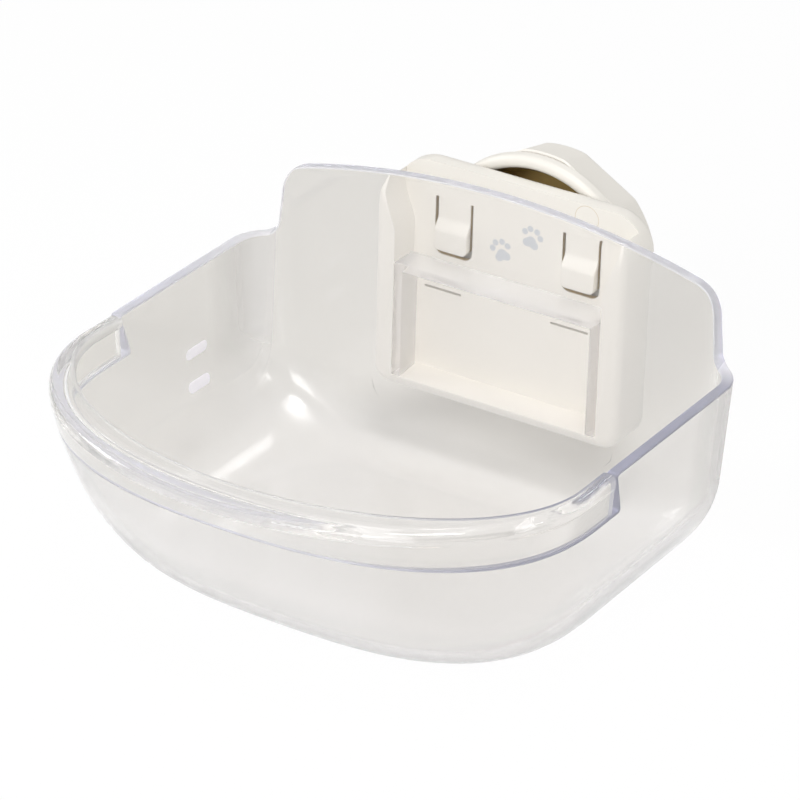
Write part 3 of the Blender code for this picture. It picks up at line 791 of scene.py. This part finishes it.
def knob_grid():
    """Outside from the back's middle to the mouth, then the cup, the boss and its bore. A flat at angle a
    limits the radius to its distance from the axis over cos(turn - a), with a soft minimum."""
    turns = full_turn(240)
    off = np.mod(turns + np.pi / KNOB_FLATS, 2 * np.pi / KNOB_FLATS) - np.pi / KNOB_FLATS
    flat = FLAT_SHARE / np.cos(off)
    trim = -np.log(np.exp(-flat * FLAT_BLEND) + np.exp(-FLAT_BLEND)) / FLAT_BLEND
    edge_centre = (KNOB_BACK_RADIUS - KNOB_EDGE, KNOB_BACK_Y - KNOB_EDGE)
    rounding = arc(edge_centre, KNOB_EDGE, 90.0, 0.0, steps=7)
    back = [(CAP_RADIUS, KNOB_BACK_Y), (BACK_RING, KNOB_BACK_Y)]
    mouth = [(KNOB_RADIUS, KNOB_Y + SOFT_EASE), (KNOB_RADIUS - FINE_EASE, KNOB_Y)]
    deep = KNOB_BACK_Y - KNOB_BACK
    seat = KNOB_Y + SLEEVE_LENGTH + FIT
    cup = KNOB_BACK_RADIUS * FLAT_SHARE - KNOB_WALL
    bore = STUD_RADIUS + FIT
    inside = [
        (MOUTH_RADIUS, KNOB_Y),
        (MOUTH_RADIUS, seat),
        (cup, seat),
        (cup, deep - CUP_EASE),
        (cup - CUP_EASE, deep),
        (BOSS_RADIUS + BOSS_EASE, deep),
        (BOSS_RADIUS, deep - BOSS_EASE),
        (BOSS_RADIUS, RING_Y + FINE_EASE),
        (BOSS_RADIUS - FINE_EASE, RING_Y),
        (bore + SOFT_EASE, RING_Y),
        (bore, RING_Y + SOFT_EASE),
        (bore, deep),
        (BORE_END, deep),
    ]
    outside = turned(np.concatenate([back, rounding, mouth]), turns, trim)
    return np.concatenate([outside, turned(dense(inside, LONGEST_STEP), turns)])


knob = surface("finger_knob", knob_grid())
dress(knob, "knob", "knob")

# %% [markdown]
# ## The ring
# A ring in front of the knob bears on the cage, and its sleeve turns inside the knob's mouth. Its section
# closes on itself, so rows and columns of the grid both wrap round and no cap is needed.

# %% Ring
RING_RADIUS, RING_SECTION, RING_LENGTH, RING_EDGE = 24.7, 3.0, 2.9, 1.3
SLEEVE_RADIUS, SLEEVE_WALL = MOUTH_RADIUS - FIT, 1.5


def ring_grid():
    """The ring's closed section: a flat lip between round edges, a shoulder and the sleeve in the knob."""
    turns = full_turn(180)
    level = RING_Y + RING_EDGE
    inner_edge = arc((RING_RADIUS - RING_SECTION + RING_EDGE, level), RING_EDGE, 180.0, 270.0, steps=8)
    outer_edge = arc((RING_RADIUS - RING_EDGE, level), RING_EDGE, 270.0, 360.0, steps=8)
    shoulder = RING_Y + RING_LENGTH
    end = shoulder + SLEEVE_LENGTH
    inside = SLEEVE_RADIUS - SLEEVE_WALL
    rest = [
        (RING_RADIUS, shoulder - FINE_EASE),
        (RING_RADIUS - FINE_EASE, shoulder),
        (SLEEVE_RADIUS, shoulder),
        (SLEEVE_RADIUS, end),
        (inside, end),
        (inside, shoulder),
    ]
    return turned(np.concatenate([inner_edge, outer_edge, rest]), turns)


ring = surface("clamp_ring", ring_grid(), wrap_rows=True)
dress(ring, "pressure_ring", "pressure_ring")

# %% [markdown]
# ## The stud
# The stud is a turned bar whose radius follows a helix, and its square head is held between the covers.
# A Screw modifier could make the thread; a radius that depends on turn and length says the same in one
# line, and lets the thread begin softly.

# %% Stud and flange
THREAD_PITCH, THREAD_DEPTH, THREAD_START, THREAD_FADE = 4.0, 0.75, 56.0, 0.8
GROOVE_TOP, GROOVE_SLOPE = 1.6, 5.0
STUD_ROOT_Y, STUD_TAPER, STUD_TIP = 53.7, 0.8, 1.0
FLANGE_HALF, FLANGE_FRONT, FLANGE_BACK, FLANGE_EDGE = 8.0, 52.6, 54.0, 0.2
FLANGE_DRAW, FLANGE_CORNER = 0.98, 0.5


def stud_grid():
    """A bar whose radius dips by the thread's depth where the turn and the way along it are out of step."""
    turns = full_turn(64)
    tip = KNOB_BACK_Y - KNOB_BACK - 2 * FIT
    along = np.linspace(STUD_ROOT_Y, tip, 90)[:, None]
    phase = np.mod(turns / (2 * np.pi) - (along - STUD_ROOT_Y) / THREAD_PITCH, 1.0)
    groove = np.clip(GROOVE_TOP - GROOVE_SLOPE * np.abs(phase - 0.5), 0.0, 1.0)
    fade = np.clip((along - THREAD_START) / THREAD_FADE, 0.0, 1.0)
    taper = np.clip((along - tip + STUD_TIP) / STUD_TIP, 0.0, 1.0) * STUD_TAPER
    radius = STUD_RADIUS - THREAD_DEPTH * groove * fade - taper * (1 - groove)
    return np.stack([radius * np.cos(turns), along + 0 * turns, AXIS_Z + radius * np.sin(turns)], -1)


def flange_grid():
    """The square head that the covers hold: one outline at four levels, drawn in at both faces."""
    square = FLANGE_HALF * np.array([(-1, -1), (1, -1), (1, 1), (-1, 1)])
    levels = [(FLANGE_FRONT, FLANGE_DRAW), (FLANGE_FRONT + FLANGE_EDGE, 1.0)]
    levels += [(FLANGE_BACK - FLANGE_EDGE, 1.0), (FLANGE_BACK, FLANGE_DRAW)]
    loops = [np.stack([k * square[:, 0], np.full(4, y), AXIS_Z + k * square[:, 1]], -1) for y, k in levels]
    return ease_corners(np.stack(loops), np.full(4, FLANGE_CORNER))


stud = surface("threaded_stud", stud_grid())
flange = surface("stud_flange", flange_grid())
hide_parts("clamp_bolt")
for piece in (stud, flange):
    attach(piece, "bracket")

# %% [markdown]
# ## Clear plastic
# The tub and its guard are clear styrene-like plastic: it bends light, and its long edges pick up a faint
# violet, more in the tub than in the guard. Glass alone would throw hard shadows, so light on its way to
# other surfaces passes straight through. Where the plastic is thick, at the foot and the bars, it is a little
# milky. Painted light makes the free edges and the upright rear corners paler, and painted shade darkens
# the edges on the right side.

# %% Clear plastic
CLEAR_BODY = (0.99, 0.987, 0.982, 1.0)
PASSED_ON = (0.98, 0.977, 0.972, 1.0)  # the light that each skin lets through to what lies behind
MILKY_AND_CORNER_LIGHT = (0.80, 0.785, 0.76, 1.0)
# the pale painted light on the free edges, in the tub and in the guard
BOWL_EDGE, GUARD_EDGE = (0.86, 0.86, 0.93, 1.0), (0.68, 0.672, 0.66, 1.0)
EDGE_PAINTED_SHADE = (0.25, 0.255, 0.33, 1.0)
VIOLET, BOWL_VIOLET, GUARD_VIOLET = (0.6, 0.6, 1.0, 1.0), 6.5, 1.5
UPRIGHT_CORNER = 55.3  # from here outwards the walls turn round the rear corners
FOOT_FADE = (6.0, 18.0)  # heights between which the milky foot ends
CORNER_DEPTH, CORNER_HEIGHT = (20.0, 39.0), (9.0, 24.0)  # where the painted light of the upright corners sets in
RIGHT_SIDE, REAR_SIDE = (25.0, 55.0), (33.0, 40.0)  # x where painted shade darkens the edges, y where that ends
# shares of milky colour; at the upright corners this is painted light, a brighter band
CORNER_PAINTED_LIGHT, BAR_MILK, FOOT_MILK = 0.4, 0.28, 0.1
# the free edges get a pale share as painted light, and on the right a dark share as painted shade
EDGE_PAINTED_LIGHT, EDGE_LOSS, EDGE_SHADE_SHARE = 0.4, 0.25, 0.6


def clear_plastic(name, edge_colour, violet_density):
    """Clear plastic, milky at the foot and the bars. Painted light brightens the upright corners and the free
    edges; painted shade darkens the edges on the right side, where they are seen along the wall."""
    finish = Finish(name)
    x, y, z = finish.axes()
    haze = finish.noise(90.0, 3.0)
    foot = 1.0 - finish.ramp(z, *FOOT_FADE)
    at_corner = x.math("ABSOLUTE").math("GREATER_THAN", UPRIGHT_CORNER)
    # painted light: a brighter band down the upright rear corners
    upright = finish.ramp(y, *CORNER_DEPTH) * finish.ramp(z, *CORNER_HEIGHT) * at_corner
    bars = y.math("GREATER_THAN", REAR_Y + WALL + PAIR)
    edge = finish.node("ShaderNodeAttribute", {"attribute_name": "edge"})[2]
    # painted shade on the edges of the right side
    deep = finish.ramp(x, *RIGHT_SIDE) * (1.0 - finish.ramp(y, *REAR_SIDE))
    finish.set(Base_Color=CLEAR_BODY, IOR=1.46, Transmission_Weight=0.94)
    finish.set(Roughness=0.05 + haze * 0.03 + foot * 0.11)
    milk_and_corner_light = upright * CORNER_PAINTED_LIGHT + bars * BAR_MILK + foot * FOOT_MILK
    body = finish.cloud(finish.plain(), milk_and_corner_light, MILKY_AND_CORNER_LIGHT)
    body = finish.cloud(body, edge * (EDGE_PAINTED_LIGHT - deep * EDGE_LOSS), edge_colour)
    body = finish.cloud(body, edge * deep * EDGE_SHADE_SHARE, EDGE_PAINTED_SHADE)
    passing = finish.node("ShaderNodeBsdfTransparent", {}, {"Color": PASSED_ON})[0]
    rays = finish.rays()
    finish.show(finish.mix(rays["Is Shadow Ray"].math("MAXIMUM", rays["Is Diffuse Ray"]), body, passing))
    tint = {"Color": VIOLET, "Density": violet_density}
    finish.put(finish.output.inputs["Volume"], finish.node("ShaderNodeVolumeAbsorption", {}, tint)[0])
    return finish.material


clear = clear_plastic("clear_plastic", BOWL_EDGE, BOWL_VIOLET)
clear_guard = clear_plastic("clear_guard", GUARD_EDGE, GUARD_VIOLET)
print("clear:", clear.name, clear_guard.name)

# %% [markdown]
# ## Cream and frosted plastic
# The bracket and the clamp are opaque satin mouldings. A broad noise keeps the cream from being flat, and
# a fine one gives the grain that an eroded mould leaves. The frosted marks scatter light instead.

# %% Cream and frosted plastic
CREAM_DEEP, CREAM_PALE = (0.845, 0.815, 0.757, 1.0), (0.87, 0.84, 0.78, 1.0)
FROST_DEEP, FROST_PALE = (0.93, 0.92, 0.95, 1.0), (0.97, 0.96, 0.98, 1.0)
GRAIN_HEIGHT = 0.02 * MM


def cream_plastic(name, change=None):
    """Satin cream with a fine grain. The change adds whatever marks one piece carries."""
    finish = Finish(name)
    fine = finish.noise(2500.0, 2.0)
    shade = finish.blend(finish.noise(60.0, 2.0), CREAM_DEEP, CREAM_PALE)
    if change:
        shade = change(finish, shade)
    finish.set(Base_Color=shade, Roughness=0.34 + fine * 0.12, Specular_IOR_Level=0.45)
    finish.set(Normal=finish.bump(fine, GRAIN_HEIGHT, 0.25))
    return finish.material


def frosted_plastic(name):
    """Etched clear plastic: it scatters light to both sides alike, so it looks paler than the wall."""
    finish = Finish(name)
    grain = finish.noise(1500.0, 2.0)
    finish.set(Base_Color=finish.blend(grain, FROST_DEEP, FROST_PALE), Roughness=0.5 + grain * 0.2)
    glow = finish.node("ShaderNodeBsdfTranslucent", {}, {"Color": FROST_PALE})[0]
    finish.show(finish.mix(0.5, finish.plain(), glow))
    return finish.material


cream = cream_plastic("cream_plastic")
frosted = frosted_plastic("frosted_plastic")
print("plain finishes:", cream.name, frosted.name)

# %% [markdown]
# ## Marks on the cover
# Two pale paw prints are printed on the plate, and a faint circle shows where the plastic was let into
# the mould. An image would need a file; circles in object coordinates stay sharp at any size.

# %% Printed paws and painted shade in the slots
# painted shade for the slots by the tongues; a weak share of it also draws the gate mark
SHADED = (0.46, 0.29, 0.04, 1.0)
PRINT = (0.60, 0.62, 0.65, 1.0)
PAWS = [(-3.6, 50.4, 20.0), (3.4, 55.3, -12.0)]  # x, height and lean of each print
PADS = [((0.0, -0.2), 1.25), ((-0.95, -0.75), 0.95), ((0.95, -0.75), 0.95)]  # centre and radius
TOES, TOE_RADIUS = ((52.0, 2.45), (18.0, 2.75), (-18.0, 2.75), (-52.0, 2.45)), 0.72  # turn and reach
GATE, GATE_OUTER, GATE_INNER, GATE_SHADE = (16.0, 63.6), 2.9, 2.75, 0.35
PRINT_DEPTH = (50.0, 50.9)  # from y to y, the plate's face
SLOT_DEPTH, SLOT_MARGIN, SLOT_BELOW, SLOT_ABOVE = (51.0, 53.6), 1.2, 1.5, 1.0
COVER_FRONT = 54.0  # the gate mark lies in front of this y


def disc(x, z, centre, radius):
    """1 inside a circle on the plate, from the squared distance to its centre."""
    across, up = x - centre[0], z - centre[1]
    return (across * across + up * up).math("LESS_THAN", radius**2)


def paw(x, z, middle, up, lean):
    """A paw print: a wide pad of three circles and four toes on a fan, all turned by the lean."""
    toes = [(math.radians(turn), reach) for turn, reach in TOES]
    spots = PADS + [((-r * math.sin(t), r * math.cos(t)), TOE_RADIUS) for t, r in toes]
    c, s = math.cos(math.radians(lean)), math.sin(math.radians(lean))
    found = 0.0
    for (a, b), radius in spots:
        found = disc(x, z, (middle + a * c - b * s, up + a * s + b * c), radius) + found
    return found.math("MINIMUM", 1.0)


def slot_sides(finish, shade):
    """Painted shade on the sides of a tongue and of its window, and on the plate behind them, that no light
    reaches.
    """
    x, y, z = finish.axes()
    near = 0.5 * LATCH_WIDTH + SLOT_MARGIN
    beside = finish.within(x.math("ABSOLUTE"), LATCH_X - near, LATCH_X + near)
    level = finish.within(z, LATCH_END - SLOT_BELOW, LATCH_ROOT + SLOT_ABOVE)
    return finish.blend(beside * finish.within(y, *SLOT_DEPTH) * level, shade, SHADED)


def cover_marks(finish, shade):
    """The two prints on the plate, the round gate mark beside them and the painted shade in the slots."""
    x, y, z = finish.axes()
    on_face = finish.within(y, *PRINT_DEPTH)
    for middle, up, lean in PAWS:
        shade = finish.blend(paw(x, z, middle, up, lean) * on_face, shade, PRINT)
    circle = disc(x, z, GATE, GATE_OUTER) - disc(x, z, GATE, GATE_INNER)
    shade = finish.blend(circle * y.math("LESS_THAN", COVER_FRONT) * GATE_SHADE, shade, SHADED)
    return slot_sides(finish, shade)


cream_cover = cream_plastic("cream_cover", cover_marks)
cream_slots = cream_plastic("cream_slots", slot_sides)
print("marked finishes:", cream_cover.name, cream_slots.name)

# %% [markdown]
# ## Inside the clamp
# In the hollow of the knob, light is thrown back from wall to wall and turns brown. The renderer follows
# only some of those bounces, so the cream there is painted deeper than outside, as painted shade.

# %% Hollow of the clamp
CUP_PAINTED_SHADE, CUP_REACH, CUP_SHORT = (0.88, 0.65, 0.26, 1.0), 20.5, 1.0
BORE_PAINTED_SHADE, BORE_MARGIN, BORE_START = (0.27, 0.18, 0.065, 1.0), 0.2, 0.9


def cup_inside(finish, shade):
    """Painted shade in the knob's cup and boss, up to just short of its back."""
    x, y, z = finish.axes()
    inside = disc(x, z, (0.0, AXIS_Z), CUP_REACH) * finish.within(y, RING_Y, KNOB_BACK_Y - CUP_SHORT)
    return finish.blend(inside, shade, CUP_PAINTED_SHADE)


def bore_inside(finish, shade):
    """Painted shade in the ring's bore, which lies in the knob's shade."""
    x, y, z = finish.axes()
    bore = disc(x, z, (0.0, AXIS_Z), RING_RADIUS - RING_SECTION + BORE_MARGIN)
    return finish.blend(bore * y.math("GREATER_THAN", RING_Y + BORE_START), shade, BORE_PAINTED_SHADE)


cream_cup = cream_plastic("cream_cup", cup_inside)
cream_bore = cream_plastic("cream_bore", bore_inside)
print("hollow finishes:", cream_cup.name, cream_bore.name)

# %% [markdown]
# ## Every piece gets its plastic
# Each piece has one material slot. The list says which plastic goes where, so a finish can be changed in
# one place.

# %% Assign the finishes
dressed = [
    (clear, [bowl]),
    (clear_guard, [guard]),
    (frosted, marks),
    (cream, [stud, flange]),
    (cream_cover, [cover]),
    (cream_slots, [plate, left_tongue, right_tongue]),
    (cream_cup, [knob]),
    (cream_bore, [ring]),
]
for material, pieces in dressed:
    for piece in pieces:
        piece.data.materials.append(material)
    print(material.name, [piece.name for piece in pieces])

# %% [markdown]
# ## The camera
# The camera stands at the photograph's viewing angle, high on the right, with a long lens that keeps the
# sides nearly parallel. Its three axes and its place were fitted to the outlines of the bowl.

# %% Camera
LENS, SENSOR, FAR_END = 207.0315, 36.0, 20.0
CAMERA_RIGHT = (0.84343748, 0.53661806, 0.02557894)
CAMERA_UP = (-0.26844408, 0.37973186, 0.88529176)
CAMERA_BACK = (0.4653504, -0.75355476, 0.46433202)
CAMERA_PLACE = (0.44026982, -0.70839779, 0.47514472)


def make_camera():
    """A camera whose matrix has the fitted axes and place as its columns."""
    data = bpy.data.cameras.new("camera")
    data.lens, data.sensor_width, data.clip_end = LENS, SENSOR, FAR_END
    camera = add_object("camera", data)
    rows = list(zip(CAMERA_RIGHT, CAMERA_UP, CAMERA_BACK, CAMERA_PLACE))
    camera.matrix_world = Matrix(rows + [(0, 0, 0, 1)])
    bpy.context.scene.camera = camera
    return camera


print("camera at", [round(value, 3) for value in make_camera().location])

# %% [markdown]
# ## The white sheet
# The bowl stands on a white sheet. To the camera and in reflections it is white; seen through the clear
# plastic it shows painted shade, a soft grey that lies under a bowl, lighter towards the front and the right.

# %% Floor
SHEET_HALF, SHEET_DROP = 4.0, 0.0002
# painted shade under the bowl: sheet colours that only the plastic shows
SHEET_LEFT, SHEET_RIGHT = (0.745, 0.725, 0.685, 1.0), (0.80, 0.778, 0.738, 1.0)
SHEET_BRIGHT, SHEET_SEEN, WHITE = (0.95, 0.93, 0.895, 1.0), (0.95, 0.95, 0.95, 1.0), (1.0, 1.0, 1.0, 1.0)
LEFT_FADE, RIGHT_FADE, FRONT_FADE = (-80.0, -10.0), (10.0, 60.0), (-6.0, -38.0)  # in x, x and y
RIGHT_SHARE = 0.7
WHITE_SHARE = 0.9  # the rest keeps the bowl's shadow


def make_floor():
    """A square sheet just under the bowl, with its own light where the camera sees it."""
    corners = [(-1, -1), (1, -1), (1, 1), (-1, 1)]
    mesh = bpy.data.meshes.new("floor")
    points = [(a * SHEET_HALF, b * SHEET_HALF, -SHEET_DROP) for a, b in corners]
    mesh.from_pydata(points, [], [(0, 1, 2, 3)])
    finish = Finish("white_sheet")
    rays = finish.rays()
    x, y, _ = finish.axes()
    # painted shade, darker to the left and lighter towards the front and the right
    bright = finish.ramp(y, *FRONT_FADE).math("MAXIMUM", finish.ramp(x, *RIGHT_FADE) * RIGHT_SHARE)
    sheet = finish.blend(finish.ramp(x, *LEFT_FADE), SHEET_LEFT, SHEET_RIGHT)
    sheet = finish.blend(bright, sheet, SHEET_BRIGHT)
    sheet = finish.blend(rays["Is Camera Ray"], sheet, SHEET_SEEN)
    finish.set(Base_Color=sheet, Roughness=0.9, Specular_IOR_Level=0.1)
    glow = finish.node("ShaderNodeEmission", {}, {"Color": WHITE, "Strength": 1.0})[0]
    white = rays["Is Camera Ray"].math("MAXIMUM", rays["Is Reflection Ray"]) * WHITE_SHARE
    finish.show(finish.mix(white, finish.plain(), glow))
    mesh.materials.append(finish.material)
    add_object("floor", mesh)


make_floor()
print("the sheet is", 2 * SHEET_HALF, "m wide")

# %% [markdown]
# ## The room and its lamps
# The room is white to the camera and through the plastic, and lights the bowl at a plain level. Five
# square lamps do the rest: a large one in front, one above for the shine, and weak ones round about.

# %% Room and lamps
ROOM_LIGHT = (0.40, 0.40, 0.40, 1.0)
AIM = Vector((0.0, 0.0, 0.03))
LAMPS = [  # name, place in metres, size in metres, power in watts
    ("front_lamp", (0.2, -1.5, 0.8), 1.0, 13.5),
    ("top_lamp", (0.25, -0.15, 1.4), 0.35, 6.4),
    ("left_lamp", (-1.2, -0.3, 0.7), 0.4, 4.0),
    ("back_lamp", (-0.05, 1.05, 0.92), 0.2, 0.65),
    ("right_lamp", (1.2, 0.1, 0.8), 0.3, 1.6),
]


def make_room():
    """White for rays from the camera and through plastic, and a plain level for all others."""
    world = bpy.data.worlds.new("white_room")
    bpy.context.scene.world = world
    world.use_nodes = True
    room = Nodes(world.node_tree)
    rays = room.rays()
    through = room.blend(rays["Is Transmission Ray"], ROOM_LIGHT, WHITE)
    seen = room.blend(rays["Is Camera Ray"], through, WHITE)
    room.put(world.node_tree.nodes["Background"].inputs["Color"], seen)


def make_lamp(name, place, size, power):
    """A square lamp that points at the middle of the bowl."""
    data = bpy.data.lights.new(name, "AREA")
    data.shape = "SQUARE"
    data.size = size
    data.energy = power
    lamp = add_object(name, data)
    lamp.location = place
    lamp.rotation_euler = (AIM - lamp.location).to_track_quat("-Z", "Y").to_euler()
    print(name, power, "W")


make_room()
for lamp in LAMPS:
    make_lamp(*lamp)

# %% [markdown]
# ## Render settings and the end
# Clear plastic inside clear plastic needs many bounces, or the bars behind the wall turn black. The last
# lines set a plain view transform and those bounces.

# %% Render settings
bpy.context.scene.view_settings.view_transform = "Standard"
bounces = bpy.context.scene.cycles
bounces.max_bounces, bounces.glossy_bounces, bounces.transmission_bounces = 32, 24, 32
